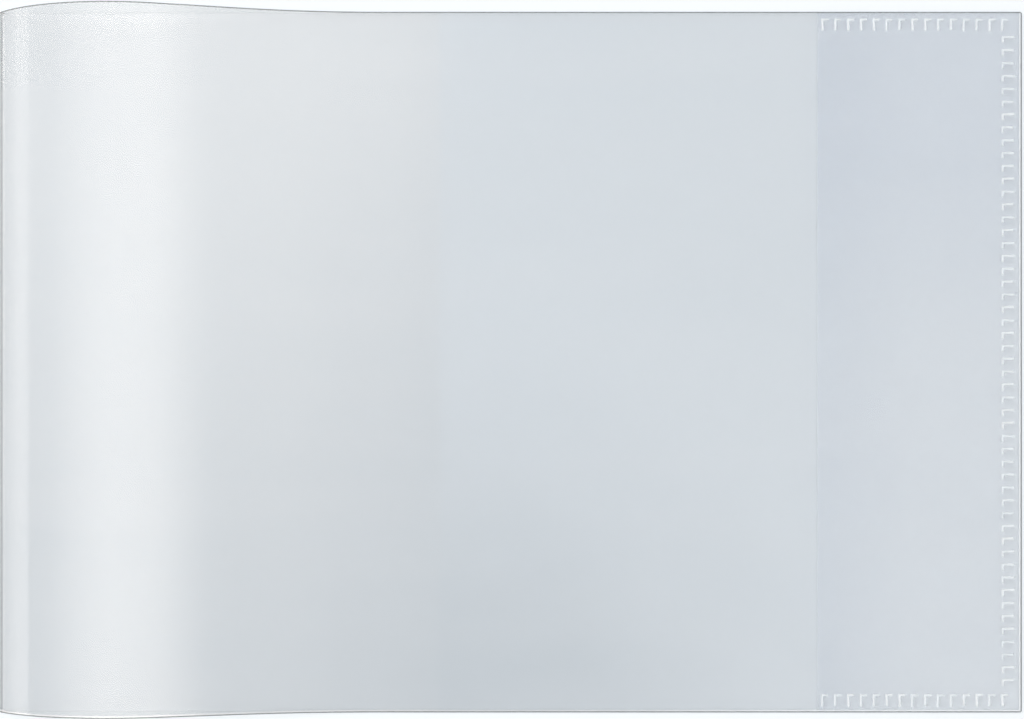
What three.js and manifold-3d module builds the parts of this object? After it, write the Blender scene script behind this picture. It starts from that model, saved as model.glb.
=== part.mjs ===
// Slip-on cover for an exercise book in landscape format: one clear film folded round the
// book, with a flap welded inside each end as a pocket. It lies closed on its back leaf.
// Millimetres. +X runs from the fold to the open side, +Y up the page, +Z up from the table.
import * as THREE from "three";
import { mergeVertices } from "three/addons/utils/BufferGeometryUtils.js";
import Module from "manifold-3d";

// Film
const FILM = 0.2; // thickness of the clear sheet and of both flaps
const COVER_LENGTH = 230.6; // closed, from the outside of the crease to the open side
const COVER_HEIGHT = 158; // along the crease: a 148 mm book between the end seams, and room

// Flaps
const FLAP_DEPTH = 46; // from the open side to the flap's free edge
const POCKET_GAP = 0.3; // between a leaf and its flap, which the seams bridge
const CLOSED_GAP = 0.3; // between the two flaps when the cover is closed

// Weld seams: a row of pressed pads, joined along their outer ends by a thin web
const PAD_WIDTH = 1.45; // along the seam
const PAD_LENGTH = 2.7; // across the seam
const PAD_PITCH = 2.9;
const PAD_PRESS = 0.06; // depth pressed into the leaf's outer face
const WEB_WIDTH = 0.3;
const END_INSET = 1.3; // from the top or bottom edge to the pads
const SIDE_INSET = 1.65; // from the open side to the pads
const MOUTH_INSET = 0.95; // from the flap's free edge to the first pad
const CORNER_GAP = 1.7; // between an end seam and the side seam

// Spine film, along its middle surface, from the back leaf round to the front leaf
const CREASE_RADIUS = 0.8;
const CREASE_TURN = 127; // degrees
const RISE_RADIUS = 32.5; // climbs from the crease until the film is level
const CREST_RADIUS = 31;
const CREST_TURN = 18; // degrees, down from level
const SLOPE_LENGTH = 20;
const STRIP_GAP = 0.3; // slit between two strips of the spine film
const ARC_STEP = 2; // degrees of turn to a facet, at most
const CREASE_STEP = 12; // the same on the tight crease

// Places that follow from the sizes
const LEAF_STACK = FILM + POCKET_GAP + FILM; // leaf, seam and flap
const OPEN_X = COVER_LENGTH / 2;
const CREASE_X = -COVER_LENGTH / 2 + FILM / 2 + CREASE_RADIUS; // where the back leaf ends
const BACK_Z = FILM / 2;
const FRONT_Z = 2 * LEAF_STACK + CLOSED_GAP - FILM / 2;
const FULL_TURN = 180; // degrees, from the back leaf round to the front leaf

const { degToRad } = THREE.MathUtils;
const wasm = await Module();
wasm.setup();

// The unit vector to the right of a heading, which points into the fold.
function rightOf(heading) {
  return new THREE.Vector2(Math.sin(degToRad(heading)), -Math.cos(degToRad(heading)));
}

// A stretch of film in the X-Z plane. Its place and heading at a share of its length.
function arcStretch(start, radius, turn) {
  const reach = radius * Math.sign(turn);
  const centre = start.point.clone().addScaledVector(rightOf(start.heading), reach);
  const at = (share) => {
    const heading = start.heading - turn * share;
    return { point: centre.clone().addScaledVector(rightOf(heading), -reach), heading };
  };
  return { at, length: degToRad(Math.abs(turn)) * radius, turn };
}

function straightStretch(start, length) {
  const angle = degToRad(start.heading);
  const along = new THREE.Vector2(Math.cos(angle), Math.sin(angle));
  const at = (share) => {
    const point = start.point.clone().addScaledVector(along, length * share);
    return { point, heading: start.heading };
  };
  return { at, length, turn: 0 };
}

// The spine film, stretch after stretch: each starts where the last one ends.
const creaseStart = { point: new THREE.Vector2(CREASE_X, BACK_Z), heading: 180 };
const crease = arcStretch(creaseStart, CREASE_RADIUS, CREASE_TURN);
const rise = arcStretch(crease.at(1), RISE_RADIUS, FULL_TURN - CREASE_TURN);
const crest = arcStretch(rise.at(1), CREST_RADIUS, CREST_TURN);
const slope = straightStretch(crest.at(1), SLOPE_LENGTH);
const drop = slope.at(1).point.y - FRONT_Z;
const runoutRadius = drop / (1 - Math.cos(degToRad(CREST_TURN)));
const runout = arcStretch(slope.at(1), runoutRadius, -CREST_TURN);
const FRONT_X = runout.at(1).point.x; // where the flat front leaf begins

// The strips of the spine film, by where each ends along it. It bends at the ends of
// spine_crease, spine_rise_2, spine_crest and spine_runout_2 as the cover opens.
const STRETCHES = [crease, rise, crest, slope, runout];
const CREASE_STEEPEST = (CREASE_RADIUS * Math.PI) / 2; // a quarter turn from the back leaf
const RISE_START = crease.length;
const CREST_START = RISE_START + rise.length;
const SLOPE_START = CREST_START + crest.length;
const RUNOUT_START = SLOPE_START + slope.length;
const STRIPS = [
  { name: "spine_crease", end: CREASE_STEEPEST },
  { name: "spine_rise_1", end: RISE_START + rise.length / 3 },
  { name: "spine_rise_2", end: RISE_START + (rise.length * 2) / 3 },
  { name: "spine_rise_3", end: CREST_START },
  { name: "spine_crest", end: SLOPE_START },
  { name: "spine_slope", end: RUNOUT_START },
  { name: "spine_runout_1", end: RUNOUT_START + runout.length / 2 },
  { name: "spine_runout_2", end: RUNOUT_START + runout.length },
];

const filmMaterial = () =>
  new THREE.MeshStandardMaterial({
    color: 0xd4dadf,
    roughness: 0.2,
    metalness: 0,
    transparent: true,
    opacity: 0.45,
  });

const weldMaterial = () =>
  new THREE.MeshStandardMaterial({ color: 0xeef2f5, roughness: 0.45, metalness: 0 });

function namedMesh(name, geometry, material) {
  const mesh = new THREE.Mesh(geometry, material);
  mesh.name = name;
  return mesh;
}

// Places and headings along the spine film between two distances from the back leaf.
function spineStations(from, to) {
  const stations = [];
  let start = 0;
  for (const stretch of STRETCHES) {
    const first = Math.max(from - start, 0) / stretch.length;
    const last = Math.min(to - start, stretch.length) / stretch.length;
    if (last > first) {
      const facet = stretch === crease ? CREASE_STEP : ARC_STEP;
      const steps = Math.max(1, Math.ceil((Math.abs(stretch.turn) * (last - first)) / facet));
      for (let i = stations.length > 0 ? 1 : 0; i <= steps; i++) {
        stations.push(stretch.at(first + ((last - first) * i) / steps));
      }
    }
    start += stretch.length;
  }
  return stations;
}

// One strip of the spine film, short of the slits at both its ends.
function stripGeometry(from, to) {
  const outer = [];
  const inner = [];
  for (const { point, heading } of spineStations(from + STRIP_GAP / 2, to - STRIP_GAP / 2)) {
    outer.push(point.clone().addScaledVector(rightOf(heading), -FILM / 2));
    inner.unshift(point.clone().addScaledVector(rightOf(heading), FILM / 2));
  }
  const section = new THREE.Shape([...outer, ...inner]);
  return new THREE.ExtrudeGeometry(section, { depth: COVER_HEIGHT, bevelEnabled: false })
    .rotateX(Math.PI / 2)
    .translate(0, COVER_HEIGHT / 2, 0);
}

function spineStrips() {
  const group = new THREE.Group();
  let start = 0;
  for (const { name, end } of STRIPS) {
    group.add(namedMesh(name, stripGeometry(start, end), filmMaterial()));
    start = end;
  }
  return group;
}

// How many pads fit in a length, pitch apart.
function padCount(length) {
  return Math.max(1, Math.floor((length - PAD_WIDTH) / PAD_PITCH) + 1);
}

// Middles of the pads of the end seams, along X, and of the side seam, along Y.
function endPadPlaces() {
  const first = OPEN_X - FLAP_DEPTH + MOUTH_INSET + PAD_WIDTH / 2;
  const count = padCount(FLAP_DEPTH - MOUTH_INSET - SIDE_INSET);
  return Array.from({ length: count }, (_, i) => first + i * PAD_PITCH);
}

function sidePadPlaces() {
  const clear = COVER_HEIGHT - 2 * (END_INSET + PAD_LENGTH + CORNER_GAP);
  const count = padCount(clear);
  return Array.from({ length: count }, (_, i) => (i - (count - 1) / 2) * PAD_PITCH);
}

// A seam seen along its row: teeth stand on the web, which lies at height 0 upwards.
function combShape(places) {
  const half = PAD_WIDTH / 2;
  const start = places[0] - half;
  const end = places[places.length - 1] + half;
  const outline = [new THREE.Vector2(start, 0), new THREE.Vector2(end, 0)];
  for (const place of [...places].reverse()) {
    if (place + half < end) outline.push(new THREE.Vector2(place + half, WEB_WIDTH));
    outline.push(new THREE.Vector2(place + half, PAD_LENGTH));
    outline.push(new THREE.Vector2(place - half, PAD_LENGTH));
    if (place - half > start) outline.push(new THREE.Vector2(place - half, WEB_WIDTH));
  }
  return new THREE.Shape(outline);
}

// The comb of one seam, its web towards the edge of the film, in a layer above z = 0.
function combGeometry(places, turn, x, y) {
  return new THREE.ExtrudeGeometry(combShape(places), { depth: POCKET_GAP, bevelEnabled: false })
    .rotateZ(turn)
    .translate(x, y, 0);
}

const END_Y = COVER_HEIGHT / 2 - END_INSET; // outer ends of the end seams' pads
const SIDE_X = OPEN_X - SIDE_INSET; // outer ends of the side seam's pads

// A turn of 180 degrees reverses the row, so the top seam's places change sign first.
const SEAMS = {
  top_weld: () => combGeometry(endPadPlaces().map((x) => -x).reverse(), Math.PI, 0, END_Y),
  side_weld: () => combGeometry(sidePadPlaces(), Math.PI / 2, SIDE_X, 0),
  bottom_weld: () => combGeometry(endPadPlaces(), 0, 0, -END_Y),
};

function solidOf(geometry) {
  const bare = geometry.clone();
  bare.deleteAttribute("normal");
  bare.deleteAttribute("uv");
  const merged = mergeVertices(bare);
  const vertProperties = merged.attributes.position.array;
  const triVerts = new Uint32Array(merged.index.array);
  return new wasm.Manifold(new wasm.Mesh({ numProp: 3, vertProperties, triVerts }));
}

function geometryOf(solid) {
  const { vertProperties, triVerts } = solid.getMesh();
  const geometry = new THREE.BufferGeometry();
  geometry.setAttribute("position", new THREE.BufferAttribute(vertProperties, 3));
  geometry.setIndex(new THREE.BufferAttribute(triVerts, 1));
  return geometry;
}

// Boxes that press the pads into a leaf's outer face at height 0, twice as tall as their depth.
function padPresses() {
  const endY = END_Y - PAD_LENGTH / 2;
  const across = new THREE.BoxGeometry(PAD_WIDTH, PAD_LENGTH, 2 * PAD_PRESS);
  const along = new THREE.BoxGeometry(PAD_LENGTH, PAD_WIDTH, 2 * PAD_PRESS);
  const sideX = SIDE_X - PAD_LENGTH / 2;
  return [
    ...endPadPlaces().map((x) => across.clone().translate(x, endY, 0)),
    ...endPadPlaces().map((x) => across.clone().translate(x, -endY, 0)),
    ...sidePadPlaces().map((y) => along.clone().translate(sideX, y, 0)),
  ];
}

// A flat leaf from X = fromX to the open side, pressed on the face that its Z direction names.
function leafGeometry(fromX, outward) {
  const length = OPEN_X - fromX;
  const sheet = new THREE.BoxGeometry(length, COVER_HEIGHT, FILM);
  sheet.translate(fromX + length / 2, 0, 0);
  let solid = solidOf(sheet);
  for (const press of padPresses()) {
    solid = solid.subtract(solidOf(press.translate(0, 0, (outward * FILM) / 2)));
  }
  return geometryOf(solid);
}

function flapGeometry() {
  return new THREE.BoxGeometry(FLAP_DEPTH, COVER_HEIGHT, FILM).translate(OPEN_X - FLAP_DEPTH / 2, 0, 0);
}

// A leaf with its flap and the three seams between them. The flap lies on the inner side.
function leafWithPocket(side, fromX, leafZ, outward) {
  const group = new THREE.Group();
  const inward = -outward;
  const panel = namedMesh(side + "_panel", leafGeometry(fromX, outward), filmMaterial());
  panel.position.z = leafZ;
  const flap = namedMesh(side + "_flap", flapGeometry(), filmMaterial());
  flap.position.z = leafZ + inward * (FILM + POCKET_GAP);
  group.add(panel, flap);
  const seamFloor = leafZ + (inward * (FILM + POCKET_GAP)) / 2 - POCKET_GAP / 2;
  for (const [name, makeSeam] of Object.entries(SEAMS)) {
    const seam = namedMesh(side + "_" + name, makeSeam(), weldMaterial());
    seam.position.z = seamFloor;
    group.add(seam);
  }
  return group;
}

const cover = new THREE.Group();
cover.add(leafWithPocket("back", CREASE_X + STRIP_GAP / 2, BACK_Z, -1));
cover.add(spineStrips());
cover.add(leafWithPocket("front", FRONT_X + STRIP_GAP / 2, FRONT_Z, 1));

export default cover;
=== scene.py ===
"""Clear slip-on cover for a landscape exercise book, closed on its back leaf.

The cover sheet is one film rolled round the spine. A flap film is welded inside each leaf by
rows of pressed pads. Metres: +X from the fold to the open side, +Y up the page, +Z up.
"""

import logging
import math
from collections.abc import Callable, Sequence
from dataclasses import dataclass, field
from enum import Enum

import bmesh
import bpy
from bpy.types import ID, Material, Mesh, Node, NodeSocket, NodeTree, Object, Scene
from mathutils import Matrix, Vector
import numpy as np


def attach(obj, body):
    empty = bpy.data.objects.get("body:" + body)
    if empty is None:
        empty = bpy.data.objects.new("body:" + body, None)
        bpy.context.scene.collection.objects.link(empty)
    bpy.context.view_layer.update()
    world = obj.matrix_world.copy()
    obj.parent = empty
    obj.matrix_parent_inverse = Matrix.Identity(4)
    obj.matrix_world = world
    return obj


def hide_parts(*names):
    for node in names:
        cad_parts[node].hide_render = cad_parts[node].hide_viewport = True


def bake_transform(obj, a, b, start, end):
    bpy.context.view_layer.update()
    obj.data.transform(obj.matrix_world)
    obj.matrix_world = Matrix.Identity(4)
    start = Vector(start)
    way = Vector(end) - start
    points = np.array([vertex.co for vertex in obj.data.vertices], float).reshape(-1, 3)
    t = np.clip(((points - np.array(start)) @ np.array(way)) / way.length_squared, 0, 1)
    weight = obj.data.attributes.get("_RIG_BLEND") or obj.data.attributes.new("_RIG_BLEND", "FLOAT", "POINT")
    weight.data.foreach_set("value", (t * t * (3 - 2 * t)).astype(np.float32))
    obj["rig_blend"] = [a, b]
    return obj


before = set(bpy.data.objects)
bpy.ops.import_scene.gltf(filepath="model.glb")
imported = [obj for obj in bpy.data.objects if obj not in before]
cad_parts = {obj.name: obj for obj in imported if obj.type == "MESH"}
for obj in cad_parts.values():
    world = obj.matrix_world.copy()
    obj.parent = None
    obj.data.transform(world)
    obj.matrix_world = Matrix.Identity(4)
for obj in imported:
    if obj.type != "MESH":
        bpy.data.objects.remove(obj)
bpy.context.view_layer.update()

MM = 0.001
SOFT_PVC_IOR = 1.53
log = logging.getLogger("exercise_book_cover")

Settings = dict[str, object]


class Zone(Enum):
    """The parts of a film's surface that are finished differently."""

    FILM = 0
    # a whiter strip along the bottom and the open side: painted highlight
    ROLLED_LIP = 1
    CUT_EDGE = 2
    FOLD = 3


class Leaf(Enum):
    """The two leaves of the cover, each named as its CAD nodes are."""

    BACK = "back"
    FRONT = "front"


# Small helpers


def linear(code: str) -> tuple[float, float, float, float]:
    """Turn an sRGB hex colour into linear red, green, blue and a full alpha.

    Args:
        code: the colour as "#rrggbb".

    Returns:
        Linear components, with 1.0 as the fourth.
    """
    channels = [int(code[i : i + 2], 16) / 255 for i in (1, 3, 5)]
    straight = [c / 12.92 if c <= 0.04045 else ((c + 0.055) / 1.055) ** 2.4 for c in channels]
    return (*straight, 1.0)


def add_node(
    tree: NodeTree,
    kind: str,
    settings: Settings | None = None,
    inputs: dict[str | int, object] | None = None,
) -> Node:
    """Add a node to a tree with its settings and links.

    Args:
        tree: the node tree of a material, the world or a modifier.
        kind: the node's type name.
        settings: properties of the node itself.
        inputs: what each input takes: a value, an output socket, or a node for its first output.

    Returns:
        The new node.
    """
    made = tree.nodes.new(kind)
    for name, value in (settings or {}).items():
        setattr(made, name, value)
    for key, value in (inputs or {}).items():
        if isinstance(value, Node):
            value = value.outputs[0]
        if isinstance(value, NodeSocket):
            tree.links.new(value, made.inputs[key])
        else:
            made.inputs[key].default_value = value
    return made


def calc(
    tree: NodeTree, operation: str, *values: object, kind: str = "ShaderNodeMath"
) -> Node:
    """Add a Math node, or the kind of node given, that works on the values."""
    return add_node(tree, kind, {"operation": operation}, dict(enumerate(values)))


def spread(
    tree: NodeTree,
    value: object,
    start: object,
    end: object,
    to: tuple[object, object] = (0.0, 1.0),
    smooth: bool = False,
) -> Node:
    """Map a value between start and end onto the range to, and hold it beyond both ends."""
    settings = {"interpolation_type": "SMOOTHSTEP" if smooth else "LINEAR"}
    ends = {"Value": value, "From Min": start, "From Max": end, "To Min": to[0], "To Max": to[1]}
    return add_node(tree, "ShaderNodeMapRange", settings, ends)


def blended(
    tree: NodeTree, share: object, low: object, high: object, blend: str = "MIX"
) -> NodeSocket:
    """Mix a second colour into a first one, or multiply it in, by a share."""
    settings = {"data_type": "RGBA", "blend_type": blend}
    mix = add_node(tree, "ShaderNodeMix", settings, {"Factor": share, 6: low, 7: high})
    return mix.outputs[2]


def fine_noise(
    tree: NodeTree,
    place: NodeSocket,
    scale: tuple[float, float, float],
    size_mm: float,
    detail: float,
    dimensions: str = "3D",
) -> Node:
    """Add a noise texture with grains of a size in millimetres.

    Args:
        tree: the material's node tree.
        place: coordinates in metres.
        scale: turns them into millimetres, and less where the grains are drawn out.
        size_mm: the size of a grain.
        detail: how much finer structure the grains have.
        dimensions: "2D" or "3D".

    Returns:
        The noise texture.
    """
    mm = add_node(tree, "ShaderNodeMapping", inputs={"Vector": place, "Scale": scale})
    inputs = {"Vector": mm, "Scale": 1 / size_mm, "Detail": detail}
    return add_node(tree, "ShaderNodeTexNoise", {"noise_dimensions": dimensions}, inputs)


def new_material(name: str) -> tuple[Material, NodeTree]:
    """Make a material with an empty node tree.

    Args:
        name: the finish that the material stands for.

    Returns:
        The material and its tree.
    """
    material = bpy.data.materials.new(name)
    material.use_nodes = True
    material.node_tree.nodes.clear()
    return material, material.node_tree


def new_object(name: str, data: ID) -> Object:
    """Put a mesh, curve, lamp or camera into the scene under a name."""
    made = bpy.data.objects.new(name, data)
    bpy.context.scene.collection.objects.link(made)
    return made


def baked(piece: Object, name: str) -> Mesh:
    """Turn a piece's evaluated modifiers into a plain mesh and delete the piece.

    Args:
        piece: the object that carries the modifiers.
        name: the name of the new mesh.

    Returns:
        The mesh that the modifiers made.
    """
    graph = bpy.context.evaluated_depsgraph_get()
    mesh = bpy.data.meshes.new_from_object(piece.evaluated_get(graph), depsgraph=graph)
    mesh.name = name
    bpy.data.objects.remove(piece)
    return mesh


def run_tree(piece: Object, tree: NodeTree, values: Settings) -> None:
    """Put a Geometry Nodes tree on a piece and set the tree's named inputs.

    Args:
        piece: the object that the tree works on.
        tree: the node group.
        values: a value for each named input.
    """
    modifier = piece.modifiers.new(tree.name, "NODES")
    modifier.node_group = tree
    for item in tree.interface.items_tree:
        if item.item_type == "SOCKET" and item.in_out == "INPUT" and item.name in values:
            modifier[item.identifier] = values[item.name]


def stations(start: float, end: float, step: float, marks: Sequence[float] = ()) -> list[float]:
    """Spread places along a length, with some that must be among them.

    Args:
        start: the first place.
        end: the last place.
        step: the widest gap between two places.
        marks: places in between that are kept exactly.

    Returns:
        The places in rising order.
    """
    kept = [start, *sorted(m for m in marks if start < m < end), end]
    places = [start]
    for low, high in zip(kept, kept[1:]):
        count = max(1, math.ceil((high - low) / step - 1e-6))
        places += [low + (high - low) * i / count for i in range(1, count + 1)]
    return places


# Finishes


@dataclass(frozen=True)
class CalenderedVinyl:
    """Soft PVC film, rolled between heated cylinders.

    It is glossy and clear with a slight milkiness, and it keeps faint streaks along the
    direction of rolling and a soft unevenness that bends its reflections.
    """

    name: str
    tint: str = "#f2f7fd"
    shade: str = "#e5edf5"
    opacity: float = 0.12
    roughness: float = 0.16
    streak_mm: float = 9.0  # width of a streak
    streak_share: float = 0.12  # that width over the streak's length
    coat: float = 1.0
    coat_ior: float = 2.2  # the low opacity thins the gloss too, and the coat restores it
    mouth: str = "#ffffff"  # painted shade: multiplies the colour at the start of the sheet
    mouth_shade_mm: float = 22.0  # how far in that reaches
    top: str = "#ffffff"  # painted shade: multiplies the colour in the upper part of the sheet
    top_shade_mm: tuple[float, float] = (7.0, 48.0)  # from where up to where it sets in

    def build(self) -> Material:
        """Build the material on the film's own UV map, which is in metres."""
        material, tree = new_material(self.name)
        uv = add_node(tree, "ShaderNodeUVMap", {"uv_map": "film"}).outputs[0]
        scale = (1000 * self.streak_share, 1000, 1)
        streaks = fine_noise(tree, uv, scale, self.streak_mm, 2.0, "2D")
        axes = add_node(tree, "ShaderNodeSeparateXYZ", inputs={0: uv}).outputs
        colour = blended(tree, streaks, linear(self.shade), linear(self.tint))
        # The mouth and top colours darken the sheet there: painted shade.
        painted_shades = (
            (axes[0], self.mouth_shade_mm, 0.0, self.mouth),
            (axes[1], *self.top_shade_mm, self.top),
        )
        for place, start, end, shade in painted_shades:
            reach = spread(tree, place, start * MM, end * MM)
            colour = blended(tree, reach, colour, linear(shade), "MULTIPLY")
        gloss = spread(tree, streaks, 0.0, 1.0, (self.roughness * 0.7, self.roughness * 1.3))
        surface = add_node(
            tree,
            "ShaderNodeBsdfPrincipled",
            inputs={
                "Base Color": colour,
                "Roughness": gloss,
                "IOR": SOFT_PVC_IOR,
                "Specular IOR Level": 1.0,
                "Alpha": self.opacity,
                "Coat Weight": self.coat,
                "Coat Roughness": 0.06,
                "Coat IOR": self.coat_ior,
            },
        )
        add_node(tree, "ShaderNodeOutputMaterial", inputs={0: surface})
        return material


@dataclass(frozen=True)
class CutFilmEdge:
    """The rim of the same film, sheared by a blade.

    Light leaves the sheet there sideways, so seen from the front the rim is a grey line. The grey is painted
    into the rim's colour: painted shade.
    """

    name: str
    tint: str = "#777c7e"
    shade: str = "#5f6466"
    opacity: float = 0.47
    nick_mm: float = 2.2

    def build(self) -> Material:
        """Build the material on the film's own UV map, which is in metres."""
        material, tree = new_material(self.name)
        uv = add_node(tree, "ShaderNodeUVMap", {"uv_map": "film"}).outputs[0]
        nicks = fine_noise(tree, uv, (1000, 1000, 1), self.nick_mm, 3.0)
        surface = add_node(
            tree,
            "ShaderNodeBsdfPrincipled",
            inputs={
                "Base Color": blended(tree, nicks, linear(self.shade), linear(self.tint)),
                "Roughness": 0.45,
                "IOR": SOFT_PVC_IOR,
                "Alpha": self.opacity,
            },
        )
        add_node(tree, "ShaderNodeOutputMaterial", inputs={0: surface})
        return material


@dataclass(frozen=True)
class FusedVinyl:
    """The film where the welding bar pressed and melted it.

    It is half matt. On the beads along each pad's top and left it is white: painted highlight.
    """

    name: str
    tint: str = "#fbfdff"
    shade: str = "#e4ebee"
    opacity: float = 0.75
    roughness: float = 0.35
    coat: float = 1.0
    speck_mm: float = 0.5

    def build(self) -> Material:
        """Build the material. The pad's own press attribute fades it from pad to pad."""
        material, tree = new_material(self.name)
        place = add_node(tree, "ShaderNodeTexCoord").outputs["Object"]
        specks = fine_noise(tree, place, (1000, 1000, 1000), self.speck_mm, 2.0)
        press = add_node(tree, "ShaderNodeAttribute", {"attribute_name": "press"})
        share = calc(tree, "MULTIPLY", specks, press.outputs["Fac"])
        surface = add_node(
            tree,
            "ShaderNodeBsdfPrincipled",
            inputs={
                "Base Color": blended(tree, share, linear(self.shade), linear(self.tint)),
                "Roughness": self.roughness,
                "IOR": SOFT_PVC_IOR,
                "Alpha": self.opacity,
                "Coat Weight": self.coat,
                "Coat Roughness": 0.3,
                "Coat IOR": 1.8,
            },
        )
        add_node(tree, "ShaderNodeOutputMaterial", inputs={0: surface})
        return material


@dataclass(frozen=True)
class TableTop:
    """Matt white laminate, which the camera sees as plain white beside the cover.

    Seen through the film it keeps its own pale grey, and it keeps the cover's shadow.
    """

    tint: str = "#dce1e4"
    mottle: str = "#d9dee1"
    lift: float = 0.338  # what the bare table lacks to pure white

    def build(self) -> Material:
        """Build the material on Object coordinates, in metres."""
        material, tree = new_material("matt_white_laminate")
        place = add_node(tree, "ShaderNodeTexCoord").outputs["Object"]
        cloud = add_node(tree, "ShaderNodeTexNoise", inputs={"Vector": place, "Scale": 8.0})
        white = blended(tree, cloud, linear(self.mottle), linear(self.tint))
        matt = add_node(tree, "ShaderNodeBsdfDiffuse", inputs={"Color": white})
        path = add_node(tree, "ShaderNodeLightPath").outputs
        bare = calc(tree, "LESS_THAN", path["Transparent Depth"], 0.5)
        strength = path["Is Camera Ray"]
        for operation, value in (
            ("MAXIMUM", path["Is Glossy Ray"]),
            ("MAXIMUM", path["Is Transmission Ray"]),
            ("MULTIPLY", bare),
            ("MULTIPLY", self.lift),
        ):
            strength = calc(tree, operation, strength, value)
        glow = add_node(tree, "ShaderNodeEmission", inputs={"Strength": strength})
        both = add_node(tree, "ShaderNodeAddShader", inputs={0: matt, 1: glow})
        add_node(tree, "ShaderNodeOutputMaterial", inputs={0: both})
        return material


@dataclass
class Finishes:
    """The materials of the cover, built once and shared by its pieces."""

    film: Material = field(init=False)
    back: Material = field(init=False)
    highlight_strip: Material = field(init=False)
    edge: Material = field(init=False)
    inner_edge: Material = field(init=False)
    fold: Material = field(init=False)
    flap: Material = field(init=False)
    bead: Material = field(init=False)
    pad: Material = field(init=False)

    def __post_init__(self) -> None:
        """Build every material."""
        self.film = CalenderedVinyl("calendered_soft_pvc").build()
        # The back leaf is scuffed dull by the table that it slides on
        self.back = CalenderedVinyl(
            "calendered_soft_pvc_scuffed", opacity=0.09, roughness=0.3, coat=0.25, coat_ior=1.8
        ).build()
        # The flap is darkened towards its mouth and in its upper part: painted shade.
        self.flap = CalenderedVinyl(
            "calendered_soft_pvc_flap",
            "#f5f9fe",
            "#eaeff6",
            coat_ior=1.8,
            mouth="#e6eaf0",
            top="#ebeff6",
        ).build()
        # A whiter, denser strip along the bottom and the open side: painted highlight.
        self.highlight_strip = CalenderedVinyl(
            "soft_pvc_painted_highlight_strip", "#ffffff", "#f6fafc", opacity=0.4, roughness=0.3
        ).build()
        # Dark grey on the rim: painted shade.
        self.edge = CutFilmEdge("sheared_soft_pvc_edge").build()
        # The back leaf's rim, paler, with less painted shade.
        self.inner_edge = CutFilmEdge(
            "sheared_soft_pvc_back_edge", "#e6eaee", "#dadfe4", opacity=0.12
        ).build()
        # Grey along the crease, where the film turns edge-on: painted shade.
        self.fold = CutFilmEdge(
            "soft_pvc_fold_painted_shade", "#9fa5a8", "#8a9093", opacity=0.3
        ).build()
        # White beads along each pad's top and left: painted highlight.
        self.bead = FusedVinyl(
            "weld_bead_painted_highlight", "#ffffff", "#f3f7fa", opacity=0.75, roughness=0.5, coat=0.15
        ).build()
        self.pad = FusedVinyl("fused_weld_pad", "#e9eeee", "#dde3e4", opacity=0.05).build()


# The spine's path


@dataclass(frozen=True)
class SpinePath:
    """The middle surface of the cover sheet, seen along Y, from leaf to leaf.

    Places along it are measured in metres from the open side of the back leaf.
    """

    open_x: float = 115.3 * MM
    crease_x: float = -114.4 * MM
    back_z: float = 0.1 * MM
    front_z: float = 1.6 * MM
    crease_radius: float = 0.8 * MM
    crease_turn: float = math.radians(127)
    rise_radius: float = 32.5 * MM
    crest_radius: float = 31 * MM
    crest_turn: float = math.radians(18)
    slope_length: float = 20 * MM

    @property
    def leaf(self) -> float:
        """Length of the flat back leaf, where the crease starts."""
        return self.open_x - self.crease_x

    def run(self) -> list[tuple[float, float, float, float]]:
        """List the stretches after the back leaf.

        Returns:
            For each stretch its length, its turn to the right, and the X and Z of its start.
        """
        heading, x, z = math.pi, self.crease_x, self.back_z
        rows = []

        def go(length: float, turn: float) -> None:
            nonlocal heading, x, z
            rows.append((length, turn, x, z))
            x, z = _along(x, z, heading, length, turn, 1.0)
            heading -= turn

        go(self.crease_radius * self.crease_turn, self.crease_turn)
        rise_turn = math.pi - self.crease_turn
        go(self.rise_radius * rise_turn, rise_turn)
        go(self.crest_radius * self.crest_turn, self.crest_turn)
        go(self.slope_length, 0.0)
        runout_radius = (z - self.front_z) / (1 - math.cos(self.crest_turn))
        go(runout_radius * self.crest_turn, -self.crest_turn)
        go(self.open_x - x, 0.0)
        return rows

    @property
    def crease_end(self) -> float:
        """Where the tight crease ends."""
        return self.leaf + self.run()[0][0]

    @property
    def crest_start(self) -> float:
        """Where the film is level at its highest."""
        return self.crease_end + self.run()[1][0]

    @property
    def slope_start(self) -> float:
        """Where the straight slope down to the front leaf starts."""
        return self.crest_start + self.run()[2][0]

    @property
    def runout_end(self) -> float:
        """Where the flat front leaf starts."""
        return self.slope_start + self.slope_length + self.run()[4][0]

    @property
    def total(self) -> float:
        """Length of the whole cover sheet."""
        return self.leaf + sum(row[0] for row in self.run())

    def at(self, place: float) -> Vector:
        """Give the point at a place along the sheet, at Y = 0."""
        if place <= self.leaf:
            return Vector((self.open_x - place, 0, self.back_z))
        rest, heading = place - self.leaf, math.pi
        rows = self.run()
        for length, turn, x, z in rows:
            if rest <= length or (length, turn, x, z) == rows[-1]:
                px, pz = _along(x, z, heading, length, turn, rest / length)
                return Vector((px, 0, pz))
            rest -= length
            heading -= turn
        return Vector((self.open_x, 0, self.front_z))

    def curve(self) -> Object:
        """Make the path a curve, fine where the film bends tightly.

        Returns:
            A poly curve whose length along it is the place on the sheet.
        """
        marks = [self.leaf, self.crease_end, self.crest_start, self.slope_start, self.runout_end]
        places = stations(0, self.leaf, 20 * MM)
        places += stations(self.leaf, self.crease_end, 0.03 * MM)[1:]
        places += stations(self.crease_end, self.runout_end, 0.25 * MM, marks)[1:]
        places += stations(self.runout_end, self.total, 20 * MM)[1:]
        return poly_curve("cover_path", [self.at(p) for p in places])


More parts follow.
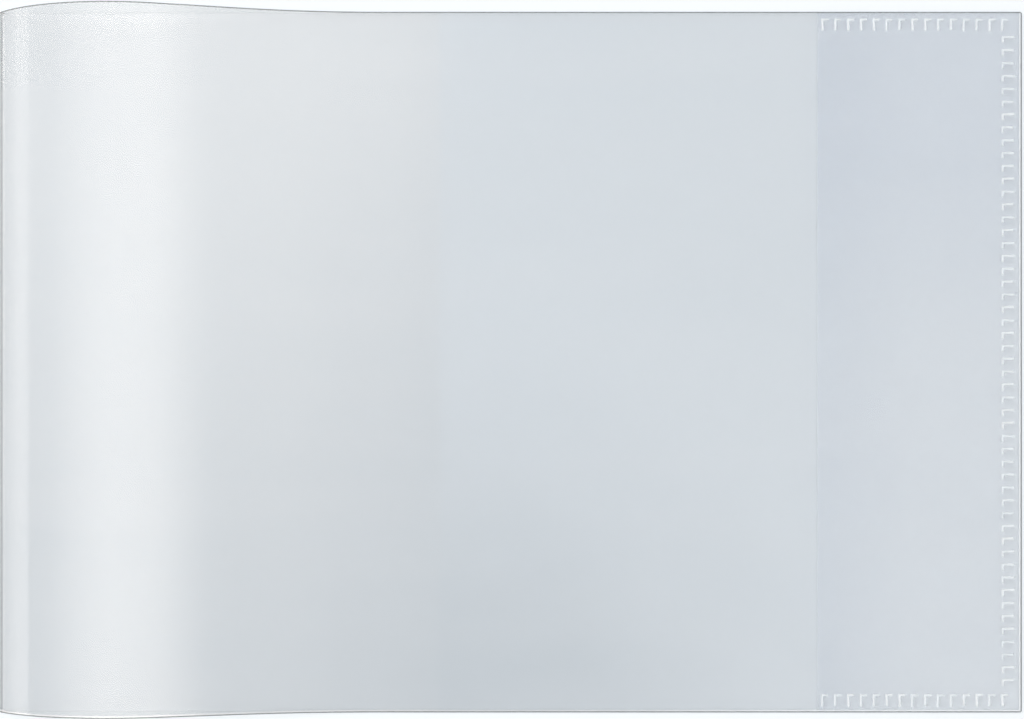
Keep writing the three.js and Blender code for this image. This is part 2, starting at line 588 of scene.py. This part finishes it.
def _along(
    x: float, z: float, heading: float, length: float, turn: float, share: float
) -> tuple[float, float]:
    """Walk part of a stretch that turns steadily to the right.

    Args:
        x: X of its start.
        z: Z of its start.
        heading: direction at its start, in radians from +X towards +Z.
        length: its whole length.
        turn: its whole turn to the right, in radians.
        share: how much of it is walked.

    Returns:
        X and Z reached.
    """
    step = length * share
    if abs(turn) < 1e-9:
        return x + step * math.cos(heading), z + step * math.sin(heading)
    radius = length / turn
    side = heading - math.pi / 2
    cx, cz = x + radius * math.cos(side), z + radius * math.sin(side)
    side -= turn * share
    return cx - radius * math.cos(side), cz - radius * math.sin(side)


def poly_curve(name: str, points: Sequence[Vector]) -> Object:
    """Make a curve of straight steps through some points."""
    data = bpy.data.curves.new(name, "CURVE")
    data.dimensions = "3D"
    spline = data.splines.new("POLY")
    spline.points.add(len(points) - 1)
    for point, place in zip(spline.points, points):
        point.co = (*place, 1)
    return new_object(name, data)


# Geometry Nodes

RIPPLE_FADE = 30 * MM  # length over which the film's ripples set in


def node_group(name: str, sockets: dict[str, str], result: str) -> NodeTree:
    """Start a Geometry Nodes tree.

    Args:
        name: the tree's name.
        sockets: the kind of each named input.
        result: the name of its one output, a geometry.

    Returns:
        The node group.
    """
    tree = bpy.data.node_groups.new(name, "GeometryNodeTree")
    for socket, kind in sockets.items():
        tree.interface.new_socket(socket, in_out="INPUT", socket_type="NodeSocket" + kind)
    tree.interface.new_socket(result, in_out="OUTPUT", socket_type="NodeSocketGeometry")
    return tree


def roll_film_tree() -> NodeTree:
    """Build the tree that rolls a flat sheet along a path.

    The sheet's X is the place along the path, its Z the distance outwards from the film's
    middle surface. Faces marked as highlight strip, edge or fold take their own materials:
    the strip's white is painted highlight, and the grey of the edge and fold is painted shade.

    Returns:
        The node group.
    """
    sockets = {"Sheet": "Geometry", "Path": "Object"}
    sockets |= dict.fromkeys(("Ripple Start", "Ripple Height", "Ripple Length"), "Float")
    sockets |= dict.fromkeys(("Film", "Highlight Strip", "Edge", "Fold"), "Material")
    tree = node_group("roll_film", sockets, "Rolled")
    given = add_node(tree, "NodeGroupInput").outputs
    path = add_node(
        tree, "GeometryNodeObjectInfo", {"transform_space": "ORIGINAL"}, {"Object": given["Path"]}
    )
    position = add_node(tree, "GeometryNodeInputPosition")
    flat = add_node(tree, "ShaderNodeSeparateXYZ", inputs={0: position}).outputs
    sample = add_node(
        tree,
        "GeometryNodeSampleCurve",
        {"mode": "LENGTH", "use_all_curves": True},
        {"Curves": path.outputs["Geometry"], "Length": flat[0]},
    ).outputs
    vector = "ShaderNodeVectorMath"
    outward = calc(tree, "CROSS_PRODUCT", sample["Tangent"], (0, 1, 0), kind=vector)
    width = add_node(tree, "ShaderNodeCombineXYZ", inputs={1: flat[1]})
    spot = add_node(tree, "ShaderNodeCombineXYZ", inputs={0: flat[0], 1: flat[1]})
    waves = calc(tree, "DIVIDE", 1.0, given["Ripple Length"])
    noise = add_node(
        tree, "ShaderNodeTexNoise", inputs={"Vector": spot, "Scale": waves, "Detail": 1.0}
    )
    start = given["Ripple Start"]
    full = calc(tree, "ADD", start, RIPPLE_FADE)
    height = spread(tree, flat[0], start, full, (0.0, given["Ripple Height"]), smooth=True)
    centred = calc(tree, "SUBTRACT", noise, 0.5)
    lift = calc(tree, "MULTIPLY_ADD", centred, height, flat[2])
    offset = add_node(tree, vector, {"operation": "SCALE"}, {0: outward, "Scale": lift})
    lifted = calc(tree, "ADD", sample["Position"], offset, kind=vector)
    placed = calc(tree, "ADD", lifted, width, kind=vector)
    rolled = add_node(
        tree, "GeometryNodeSetPosition", inputs={"Geometry": given["Sheet"], "Position": placed}
    )
    real = add_node(tree, "GeometryNodeRealizeInstances", inputs={"Geometry": rolled})
    zone = add_node(
        tree, "GeometryNodeInputNamedAttribute", {"data_type": "INT"}, {"Name": "zone"}
    )
    last = add_node(
        tree, "GeometryNodeSetMaterial", inputs={"Geometry": real, "Material": given["Film"]}
    )
    kinds = {"Highlight Strip": Zone.ROLLED_LIP, "Edge": Zone.CUT_EDGE, "Fold": Zone.FOLD}
    for name, kind in kinds.items():
        marked = add_node(
            tree,
            "FunctionNodeCompare",
            {"data_type": "INT", "operation": "EQUAL"},
            {2: zone.outputs["Attribute"], 3: kind.value},
        )
        inputs = {"Geometry": last, "Selection": marked, "Material": given[name]}
        last = add_node(tree, "GeometryNodeSetMaterial", inputs=inputs)
    add_node(tree, "NodeGroupOutput", inputs={0: last})
    return tree


def weld_row_tree() -> NodeTree:
    """Build the tree that repeats one pad, or one bead, along a seam.

    Each copy is turned and stretched a little, as a hand-fed bar leaves them, and carries
    how hard it was pressed in the attribute "press".

    Returns:
        The node group.
    """
    sockets = {"Pad": "Geometry", "Pads": "Int", "First": "Vector", "Pitch": "Vector"}
    sockets |= {"Skew": "Float", "Shortest": "Float", "Seed": "Int", "Finish": "Material"}
    tree = node_group("weld_row", sockets, "Row")
    given = add_node(tree, "NodeGroupInput").outputs

    def draw(kind: str, ends: dict[int, object]) -> Node:
        """Draw a random value for each copy between two ends."""
        inputs = {**ends, "Seed": given["Seed"]}
        return add_node(tree, "FunctionNodeRandomValue", {"data_type": kind}, inputs)

    line = add_node(
        tree,
        "GeometryNodeMeshLine",
        {"mode": "OFFSET"},
        {"Count": given["Pads"], "Start Location": given["First"], "Offset": given["Pitch"]},
    )
    back = calc(tree, "MULTIPLY", given["Skew"], -1.0)
    turn = draw("FLOAT", {2: back, 3: given["Skew"]})
    angles = add_node(tree, "ShaderNodeCombineXYZ", inputs={2: turn.outputs[1]})
    rotation = add_node(tree, "FunctionNodeEulerToRotation", inputs={0: angles})
    short = given["Shortest"]
    low = add_node(tree, "ShaderNodeCombineXYZ", inputs={0: short, 1: short, 2: 1.0})
    row = add_node(
        tree,
        "GeometryNodeInstanceOnPoints",
        inputs={
            "Points": line,
            "Instance": given["Pad"],
            "Rotation": rotation,
            "Scale": draw("FLOAT_VECTOR", {0: low, 1: (1.0, 1.0, 1.0)}),
        },
    )
    hard = draw("FLOAT", {2: 0.0, 3: 1.0})
    pressed = add_node(
        tree,
        "GeometryNodeStoreNamedAttribute",
        {"data_type": "FLOAT", "domain": "INSTANCE"},
        {"Geometry": row, "Name": "press", "Value": hard.outputs[1]},
    )
    real = add_node(tree, "GeometryNodeRealizeInstances", inputs={"Geometry": pressed})
    dressed = add_node(
        tree, "GeometryNodeSetMaterial", inputs={"Geometry": real, "Material": given["Finish"]}
    )
    add_node(tree, "NodeGroupOutput", inputs={0: dressed})
    return tree


# Films


@dataclass(frozen=True)
class Sheet:
    """A flat piece of film before it is rolled: X along the path, Y across it."""

    start: float
    end: float
    height: float = 158 * MM
    thickness: float = 0.2 * MM
    step: float = 4 * MM
    cut_at_start: bool = False
    cut_at_end: bool = False
    fold_start: float = 0.0
    fold_end: float = 0.0
    corner_radius: float = 0.6 * MM
    edge_width: float = 0.25 * MM
    # width of the painted highlight strip inside the rim
    highlight_width: float = 0.3 * MM
    row_step: float = 6 * MM

    def mesh(self, name: str) -> Mesh:
        """Build the sheet as two faces and a wall along each cut side.

        Args:
            name: the mesh's name.

        Returns:
            The flat mesh, with its UV map "film" in metres and each face's zone.
        """
        rim = (self.edge_width, self.edge_width + self.highlight_width)
        marks = [self.start + w for w in rim] * self.cut_at_start
        marks += [self.end - w for w in rim] * self.cut_at_end
        xs = stations(self.start, self.end, self.step, marks)
        half = self.height / 2
        ys = stations(-half, half, self.row_step, [s * (half - w) for s in (-1, 1) for w in rim])
        columns, rows = len(xs), len(ys)
        flat = [self._rounded(x, y) for x in xs for y in ys]
        verts = [(x, y, side * self.thickness / 2) for side in (1, -1) for x, y in flat]
        below = columns * rows
        faces, zones = [], []
        for i in range(columns - 1):
            for j in range(rows - 1):
                a, b = i * rows + j, (i + 1) * rows + j
                zone = self._zone((xs[i] + xs[i + 1]) / 2, (ys[j] + ys[j + 1]) / 2)
                faces.append((a, b, b + 1, a + 1))
                faces.append((a + below, a + 1 + below, b + 1 + below, b + below))
                zones += [zone.value] * 2
        walls = [[i * rows for i in range(columns)]]
        walls.append([i * rows + rows - 1 for i in reversed(range(columns))])
        if self.cut_at_end:
            walls.append([(columns - 1) * rows + j for j in range(rows)])
        if self.cut_at_start:
            walls.append(list(reversed(range(rows))))
        for wall in walls:
            for a, b in zip(wall, wall[1:]):
                faces.append((a, a + below, b + below, b))
                zones.append(Zone.CUT_EDGE.value)
        mesh = bpy.data.meshes.new(name)
        mesh.from_pydata(verts, [], faces)
        uv = mesh.uv_layers.new(name="film")
        for loop in mesh.loops:
            uv.data[loop.index].uv = flat[loop.vertex_index % below]
        marked = mesh.attributes.new("zone", "INT", "FACE")
        marked.data.foreach_set("value", zones)
        mesh.shade_smooth()
        mesh.update()
        return mesh

    def _rounded(self, x: float, y: float) -> tuple[float, float]:
        """Draw the corner of a cut side inwards, which rounds it."""
        pull = self.corner_radius * (1 - math.sqrt(0.5))
        if abs(abs(y) - self.height / 2) > 1e-9:
            return x, y
        if self.cut_at_start and abs(x - self.start) < 1e-9:
            return x + pull, y - math.copysign(pull, y)
        if self.cut_at_end and abs(x - self.end) < 1e-9:
            return x - pull, y - math.copysign(pull, y)
        return x, y

    def _zone(self, x: float, y: float) -> Zone:
        """Tell which finish a face takes from its distance to the cut sides.

        Along the bottom and the end, a strip inside the cut edge is drawn whiter and denser: painted
        highlight.
        """
        # the sides that get the painted highlight strip
        rolled = [self.height / 2 + y] + [self.end - x] * self.cut_at_end
        plain = [self.height / 2 - y] + [x - self.start] * self.cut_at_start
        if min(rolled + plain) < self.edge_width:
            return Zone.CUT_EDGE
        if min(rolled) < self.edge_width + self.highlight_width:
            return Zone.ROLLED_LIP
        if self.fold_start < x < self.fold_end:
            return Zone.FOLD
        return Zone.FILM


@dataclass
class CoverSheet:
    """The one long film of the cover, rolled round the spine.

    It is made in lengths that meet edge to edge where the film doesn't bend as the cover
    opens, so the joins never show.
    """

    path: SpinePath
    finishes: Finishes
    roll: NodeTree
    crease_hold: float = 12 * MM  # place after the back leaf where the rise is stiff
    slope_hold: float = 56 * MM  # the same for the slope
    leaf_hold: float = 15 * MM  # how far the last bend reaches into the front leaf
    crease_bend_z: float = 1.5 * MM  # height at which the first bend ends
    fold_shade_reach: tuple[float, float] = (0.5 * MM, 1.7 * MM)  # where the crease is drawn grey: painted shade

    def build(self) -> list[Object]:
        """Make the lengths of film and tie each to its bodies.

        Returns:
            The pieces in order from the back leaf to the front leaf.
        """
        p = self.path
        hold_1 = p.leaf + self.crease_hold
        hold_2 = p.crest_start
        hold_3 = p.leaf + self.slope_hold
        hold_4 = p.runout_end + self.leaf_hold
        curve = p.curve()
        back = self._length("back_leaf_film", Sheet(0, p.leaf, cut_at_start=True), curve)
        fold_start, fold_end = (p.leaf + reach for reach in self.fold_shade_reach)
        crease = self._length(
            "crease_film",
            Sheet(p.leaf, hold_1, step=0.12 * MM, fold_start=fold_start, fold_end=fold_end),
            curve,
        )
        rise = self._length("rise_film", Sheet(hold_1, hold_2, step=0.5 * MM), curve)
        crest = self._length("crest_film", Sheet(hold_2, hold_3, step=0.5 * MM), curve)
        runout = self._length("runout_film", Sheet(hold_3, hold_4, step=0.7 * MM), curve)
        front = self._length("front_leaf_film", Sheet(hold_4, p.total, cut_at_end=True), curve)
        bpy.data.objects.remove(curve)
        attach(back, "back_leaf")
        bent = p.at(p.leaf)
        bent.z = self.crease_bend_z
        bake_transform(crease, "back_leaf", "rise", start=p.at(p.leaf), end=bent)
        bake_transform(rise, "rise", "crest", start=p.at(hold_1), end=p.at(hold_2))
        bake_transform(crest, "crest", "slope", start=p.at(hold_2), end=p.at(hold_3))
        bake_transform(runout, "slope", "front_leaf", start=p.at(hold_3), end=p.at(hold_4))
        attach(front, "front_leaf")
        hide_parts("back_panel")
        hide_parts("spine_crease", "spine_rise_1")
        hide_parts("spine_rise_2", "spine_rise_3")
        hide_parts("spine_crest", "spine_slope")
        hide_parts("spine_runout_1", "spine_runout_2")
        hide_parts("front_panel")
        pieces = [back, crease, rise, crest, runout, front]
        return pieces

    def _length(self, name: str, sheet: Sheet, curve: Object) -> Object:
        """Roll one length of film along the path. The back leaf's rim gets a paler edge, with less painted
        shade, and no painted highlight strip.
        """
        f = self.finishes
        coats = {"Film": f.film, "Highlight Strip": f.highlight_strip, "Edge": f.edge, "Fold": f.fold}
        if sheet.cut_at_start:
            coats = {"Film": f.back, "Highlight Strip": f.back, "Edge": f.inner_edge, "Fold": f.fold}
        return rolled_piece(name, sheet, curve, self.roll, coats, self.path.crest_start)


def rolled_piece(
    name: str,
    sheet: Sheet,
    curve: Object,
    roll: NodeTree,
    coats: dict[str, Material],
    ripple_start: float,
) -> Object:
    """Roll a flat sheet along a curve.

    Args:
        name: the piece's name.
        sheet: the flat film.
        curve: the path of its middle surface.
        roll: the Geometry Nodes tree.
        coats: the materials of the film, its lip, its cut edge and its fold.
        ripple_start: place along the sheet from which it ripples slightly.

    Returns:
        The finished piece.
    """
    flat = new_object(name + "_flat", sheet.mesh(name + "_flat"))
    values = {"Path": curve, **coats}
    values |= {"Ripple Start": ripple_start, "Ripple Height": 0.3 * MM, "Ripple Length": 42 * MM}
    run_tree(flat, roll, values)
    piece = new_object(name, baked(flat, name))
    piece.data.shade_smooth()
    return piece


@dataclass
class FlapPocket:
    """A flap film inside one leaf and the weld pads that hold it along three sides."""

    leaf: Leaf
    finishes: Finishes
    roll: NodeTree
    row: NodeTree
    open_x: float = 115.3 * MM
    cover_height: float = 158 * MM
    depth: float = 46 * MM
    film: float = 0.2 * MM
    pad_width: float = 1.45 * MM
    pad_length: float = 2.7 * MM
    pad_pitch: float = 2.9 * MM
    end_pads: int = 15
    side_pads: int = 51
    pad_skew: float = 0.05  # radians that a pad may be turned by, either way
    end_inset: float = 1.3 * MM
    side_inset: float = 1.65 * MM
    mouth_inset: float = 0.95 * MM
    bead_width: float = 0.58 * MM
    bead_height: float = 0.14 * MM
    bead_shifts: tuple[tuple[float, float], ...] = (  # from the pads at the top, bottom and side
        (0.1 * MM, -0.45 * MM),
        (0.1 * MM, -0.12 * MM),
        (0.08 * MM, 0.04 * MM),
    )

    @property
    def body(self) -> str:
        """Name of the body that the pocket rides on."""
        return self.leaf.value + "_leaf"

    def build(self) -> list[Object]:
        """Make the flap, its pads and their beads.

        Returns:
            The three pieces of the pocket.
        """
        name = self.leaf.value
        flap_z, seam_z, bead_z = self._levels()
        path = [Vector((self.open_x - self.depth, 0, flap_z)), Vector((self.open_x, 0, flap_z))]
        curve = poly_curve(name + "_flap_path", path)
        sheet = Sheet(0, self.depth, cut_at_start=True, cut_at_end=True, row_step=5 * MM)
        f = self.finishes
        coats = dict.fromkeys(("Film", "Highlight Strip", "Edge", "Fold"), f.flap)
        flap = rolled_piece(name + "_flap_film", sheet, curve, self.roll, coats, self.depth)
        bpy.data.objects.remove(curve)
        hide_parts(name + "_flap")
        still = ((0.0, 0.0),) * 3
        pads = self._rows(name + "_weld_pads", self._pad, seam_z, f.pad, 0.96, still)
        seams = [f"{name}_{side}_weld" for side in ("top", "side", "bottom")]
        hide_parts(*seams)
        # White beads along each pad's top and left only: painted highlight.
        beads = self._rows(
            name + "_weld_beads", self._bead, bead_z, f.bead, 0.88, self.bead_shifts
        )
        beads.visible_shadow = False  # the beads are painted highlights, so they cast no shadow
        for piece in (flap, pads, beads):
            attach(piece, self.body)
        return [flap, pads, beads]

    def _levels(self) -> tuple[float, float, float]:
        """Give the heights of the flap's middle, the seam's middle and the beads' feet."""
        if self.leaf is Leaf.BACK:
            return 0.6 * MM, 0.35 * MM, 0.62 * MM
        return 1.1 * MM, 1.35 * MM, 1.62 * MM

    def _rows(
        self,
        name: str,
        shape: Callable[[float, float], Mesh],
        z: float,
        finish: Material,
        shortest: float,
        shifts: Sequence[tuple[float, float]],
    ) -> Object:
        """Repeat a shape along the three seams and join the rows.

        Args:
            name: the piece's name.
            shape: makes one pad from its width along X and height along Y.
            z: height of the shape's origin.
            finish: the piece's material.
            shortest: the smallest share of its size that a copy may have.
            shifts: how far the top, bottom and side rows lie from the pads' corners.

        Returns:
            One piece that holds all three rows.
        """
        w, h, pitch = self.pad_width, self.pad_length, self.pad_pitch
        mouth = self.open_x - self.depth + self.mouth_inset
        top = self.cover_height / 2 - self.end_inset
        side_x = self.open_x - self.side_inset - h
        side_top = (self.side_pads - 1) / 2 * pitch + w / 2
        rows = [
            (w, h, self.end_pads, (mouth, top), (pitch, 0, 0), 3),
            (w, h, self.end_pads, (mouth, h - top), (pitch, 0, 0), 8),
            (h, w, self.side_pads, (side_x, side_top), (0, -pitch, 0), 21),
        ]
        parts = []
        for (wide, high, count, (x, y), step, seed), (dx, dy) in zip(rows, shifts):
            one = new_object(name + "_one", shape(wide, high))
            first = (x + dx, y + dy, z)
            values = {"Pads": count, "First": first, "Pitch": step, "Skew": self.pad_skew}
            values |= {"Shortest": shortest, "Seed": seed, "Finish": finish}
            run_tree(one, self.row, values)
            parts.append(baked(one, name))
        return new_object(name, joined(name, parts, finish))

    def _pad(self, wide: float, high: float) -> Mesh:
        """Make one pad, a low block with bevelled sides, from its upper left corner."""
        bevel, half = 0.12 * MM, 0.15 * MM
        verts, faces = [], []
        for z, inset in ((-half, bevel), (-half / 2, 0), (half / 2, 0), (half, bevel)):
            left, right = inset, wide - inset
            verts += [(left, -inset, z), (right, -inset, z), (right, inset - high, z)]
            verts.append((left, inset - high, z))
        for level in range(3):
            for i in range(4):
                a, b = level * 4 + i, level * 4 + (i + 1) % 4
                faces.append((b, a, a + 4, b + 4))
        faces += [(0, 1, 2, 3), (15, 14, 13, 12)]
        return plain_mesh("pad", verts, faces)

    def _bead(self, wide: float, high: float) -> Mesh:
        """Make the white bead along a pad's left side and top, a painted highlight, from their corner."""
        long_side = max(wide, high)
        across = self.bead_width * (0.85 if high == long_side else 0.7)
        down = self.bead_width * (1.0 if wide == long_side else 0.75)
        tip = 0.15 * MM
        spine = [(0.0, -high), (0.0, tip - high), (0.0, 0.0), (wide - tip, 0.0), (wide, 0.0)]
        widths = [across * 0.4, across, across, down, down * 0.4]
        normals = [(1.0, 0.0), (1.0, 0.0), (1.0, -1.0), (0.0, -1.0), (0.0, -1.0)]
        arch = [(0.5, 0.0), (0.32, 0.75), (0.0, 1.0), (-0.32, 0.75), (-0.5, 0.0)]
        verts, faces = [], []
        for (x, y), width, (nx, ny) in zip(spine, widths, normals):
            lift = self.bead_height * (0.5 if width < self.bead_width * 0.5 else 1.0)
            verts += [(x + nx * a * width, y + ny * a * width, b * lift) for a, b in arch]
        size = len(arch)
        for i in range(len(spine) - 1):
            for j in range(size - 1):
                a, b = i * size + j, (i + 1) * size + j
                faces.append((a, b, b + 1, a + 1))
            faces.append(((i + 1) * size, i * size, i * size + size - 1, (i + 2) * size - 1))
        faces.append(tuple(range(size)))
        faces.append(tuple(reversed(range(len(verts) - size, len(verts)))))
        return plain_mesh("bead", verts, faces)


def plain_mesh(
    name: str, verts: Sequence[tuple[float, ...]], faces: Sequence[tuple[int, ...]]
) -> Mesh:
    """Make a closed mesh with its faces turned outwards."""
    mesh = bpy.data.meshes.new(name)
    mesh.from_pydata(verts, [], faces)
    shape = bmesh.new()
    shape.from_mesh(mesh)
    bmesh.ops.recalc_face_normals(shape, faces=shape.faces)
    shape.to_mesh(mesh)
    shape.free()
    return mesh


def joined(
    name: str, parts: Sequence[Mesh], finish: Material
) -> Mesh:
    """Join meshes into one of one material, and keep their press attribute.

    Args:
        name: the new mesh's name.
        parts: the meshes.
        finish: the material of them all.

    Returns:
        One mesh.
    """
    whole = bmesh.new()
    for part in parts:
        whole.from_mesh(part)
    for face in whole.faces:
        face.material_index = 0
    mesh = bpy.data.meshes.new(name)
    whole.to_mesh(mesh)
    whole.free()
    mesh.materials.append(finish)
    return mesh


# Studio


@dataclass(frozen=True)
class GlowRow:
    """How bright a lit card is along X, at one place in Y, in millimetres."""

    y_mm: float
    stops: tuple[tuple[float, float], ...]


WARM_WHITE = (1.07, 1.0, 0.93)  # red, green and blue of the cards' light
CREST_GLOW = (
    GlowRow(-70, ((-230, 1.5), (-164, 2.0), (-94, 4.4), (-54, 3.8), (-40, 1.0), (-18, 0.6))),
    GlowRow(78, ((-230, 3.2), (-164, 3.2), (-94, 5.1), (-54, 5.4), (-40, 3.4), (-18, 2.9))),
)
SIDE_GLOW = (
    GlowRow(-58, ((-200, 3.2), (-160, 2.8), (-135, 2.4), (-117, 1.3))),
    GlowRow(78, ((-200, 4.0), (-160, 3.3), (-135, 2.8), (-117, 2.0))),
)


@dataclass(frozen=True)
class RoomPatch:
    """A round patch of the room overhead, as the film's gloss sees it.

    Its place is X and Y one metre above the eye, and so are its two radii. The brightness
    changes smoothly from the inner value to the outer one between them.
    """

    place: tuple[float, float]
    near: float
    far: float
    inner: float
    outer: float


ROOM = (
    RoomPatch((-0.014, -0.115), near=0.02, far=0.17, inner=0.3, outer=2.5),
    RoomPatch((-0.35, 0.35), near=0.2, far=0.41, inner=3.0, outer=0.0),
)


@dataclass
class Studio:
    """The table, the light and the camera of the photograph."""

    image: tuple[int, int] = (1024, 719)
    foot: tuple[float, float] = (0.35 * MM, -20.0 * MM)  # straight below the camera
    height: float = 520 * MM  # above the front leaf's outer face
    leaf_z: float = 1.7 * MM
    pixel: float = 0.2255 * MM  # on the front leaf
    rise_px: float = 91.3  # the picture's middle above that foot
    table_drop: float = 0.1 * MM
    table_half: float = 0.7
    key_place: tuple[float, float, float] = (-0.5, 0.15, 1.9)
    key_size: float = 1.2
    key_watts: float = 19.9
    card_half: float = 220 * MM
    room_light: float = 0.456  # the even light on matt surfaces

    def build(self) -> None:
        """Set up the whole studio."""
        scene = bpy.context.scene
        scene.view_settings.view_transform = "Standard"
        scene.cycles.transparent_max_bounces = 32
        scene.cycles.max_bounces = 4
        scene.cycles.diffuse_bounces = 3
        scene.cycles.glossy_bounces = 2
        self._camera(scene)
        self._table()
        self._key()
        self._cards()
        self._world(scene)

    def _camera(self, scene: Scene) -> None:
        """Hang the camera over the cover, as in the photograph."""
        data = bpy.data.cameras.new("camera")
        data.sensor_width = 36.0
        data.lens = 36.0 * self.height / (self.image[0] * self.pixel)
        data.shift_y = self.rise_px / self.image[0]
        camera = new_object("camera", data)
        camera.location = (*self.foot, self.leaf_z + self.height)
        scene.camera = camera

    def _table(self) -> None:
        """Lay the table just under the cover."""
        half = self.table_half
        corners = [(-half, -half), (half, -half), (half, half), (-half, half)]
        mesh = bpy.data.meshes.new("table")
        mesh.from_pydata([(x, y, -self.table_drop) for x, y in corners], [], [(0, 1, 2, 3)])
        mesh.materials.append(TableTop().build())
        new_object("table", mesh)

    def _key(self) -> None:
        """Hang a large soft lamp above, to the upper left."""
        data = bpy.data.lights.new("key", "AREA")
        data.shape = "DISK"
        data.size = self.key_size
        data.energy = self.key_watts
        lamp = new_object("key", data)
        lamp.location = self.key_place
        lamp.rotation_euler = Vector(lamp.location).to_track_quat("Z", "Y").to_euler()
        lamp.visible_glossy = False

    def _cards(self) -> None:
        """Set up the lit cards that only the film's gloss sees."""
        self._card("crest_card", (-420, 60), (-18, 60), CREST_GLOW)
        self._card("side_card", (-200, 0), (-116.8, 0), SIDE_GLOW)
        self._card("low_card", (-200, 0), (-200, 26), SIDE_GLOW)

    def _card(
        self,
        name: str,
        start: tuple[float, float],
        end: tuple[float, float],
        rows: tuple[GlowRow, GlowRow],
    ) -> None:
        """Make a glowing card whose brightness changes along X and Y.

        Args:
            name: the card's name.
            start: X and Z of one long side, in millimetres.
            end: X and Z of the other long side.
            rows: the brightness along X at two places in Y, in rising order.
        """
        material, tree = new_material(name)
        place = add_node(tree, "ShaderNodeTexCoord").outputs["Object"]
        axes = add_node(tree, "ShaderNodeSeparateXYZ", inputs={0: place}).outputs
        peak = max(glow for row in rows for _, glow in row.stops) * WARM_WHITE[0]
        low, high = (self._ramp(tree, axes[0], row, peak) for row in rows)
        share = spread(tree, axes[1], *(row.y_mm * MM for row in rows))
        light = blended(tree, share, low, high)
        glow = add_node(tree, "ShaderNodeEmission", inputs={"Color": light, "Strength": peak})
        add_node(tree, "ShaderNodeOutputMaterial", inputs={0: glow})
        y = self.card_half
        sides = [(start, -y), (start, y), (end, y), (end, -y)]
        mesh = bpy.data.meshes.new(name)
        mesh.from_pydata([(x * MM, y, z * MM) for (x, z), y in sides], [], [(0, 1, 2, 3)])
        mesh.materials.append(material)
        card = new_object(name, mesh)
        card.visible_camera = card.visible_diffuse = card.visible_shadow = False
        card.visible_transmission = False

    def _ramp(
        self,
        tree: NodeTree,
        x: NodeSocket,
        row: GlowRow,
        peak: float,
    ) -> NodeSocket:
        """Turn X into the brightness of one row, as a share of the card's peak."""
        first, last = row.stops[0][0], row.stops[-1][0]
        share = spread(tree, x, first * MM, last * MM)
        node = add_node(tree, "ShaderNodeValToRGB", inputs={0: share})
        elements = node.color_ramp.elements
        elements.remove(elements[1])
        for place, glow in row.stops:
            spot = (place - first) / (last - first)
            element = elements[0] if place == first else elements.new(spot)
            element.color = (*(glow / peak * warm for warm in WARM_WHITE), 1)
        return node.outputs[0]

    def _world(self, scene: Scene) -> None:
        """Surround the cover with an even room, which its gloss sees in soft gradients."""
        world = bpy.data.worlds.new("studio")
        world.use_nodes = True
        tree = world.node_tree
        tree.nodes.clear()
        scene.world = world
        world.cycles.sampling_method = "NONE"
        way = add_node(tree, "ShaderNodeTexCoord").outputs["Generated"]
        height = add_node(tree, "ShaderNodeSeparateXYZ", inputs={0: way}).outputs[2]
        up = calc(tree, "MAXIMUM", height, 0.02)
        ups = add_node(tree, "ShaderNodeCombineXYZ", inputs=dict.fromkeys(range(3), up))
        vector = "ShaderNodeVectorMath"
        upright = calc(tree, "DIVIDE", way, ups, kind=vector)
        glows = []
        for patch in ROOM:
            away = calc(tree, "DISTANCE", upright, (*patch.place, 1.0), kind=vector)
            away, ends = away.outputs["Value"], (patch.inner, patch.outer)
            glows.append(spread(tree, away, patch.near, patch.far, ends, smooth=True))
        ceiling = calc(tree, "ADD", *glows)
        low = spread(tree, height, 0.1, 0.75, (0.25, 1.0), smooth=True)
        room = calc(tree, "MULTIPLY", ceiling, low)
        path = add_node(tree, "ShaderNodeLightPath").outputs
        strength = self.room_light
        for ray, light in (("Is Glossy Ray", room), ("Is Camera Ray", 1.0)):
            strength = add_node(
                tree, "ShaderNodeMix", {"data_type": "FLOAT"}, {0: path[ray], 2: strength, 3: light}
            )
        sky = add_node(
            tree, "ShaderNodeBackground", inputs={"Color": linear("#fbfdff"), "Strength": strength}
        )
        add_node(tree, "ShaderNodeOutputWorld", inputs={0: sky})


def main() -> None:
    """Build the cover and its studio."""
    logging.basicConfig(level=logging.INFO, format="%(message)s")
    finishes = Finishes()
    path = SpinePath()
    roll, row = roll_film_tree(), weld_row_tree()
    pieces = CoverSheet(path, finishes, roll).build()
    for leaf in Leaf:
        pieces += FlapPocket(leaf, finishes, roll, row).build()
    Studio().build()


if __name__ == "__main__":
    main()
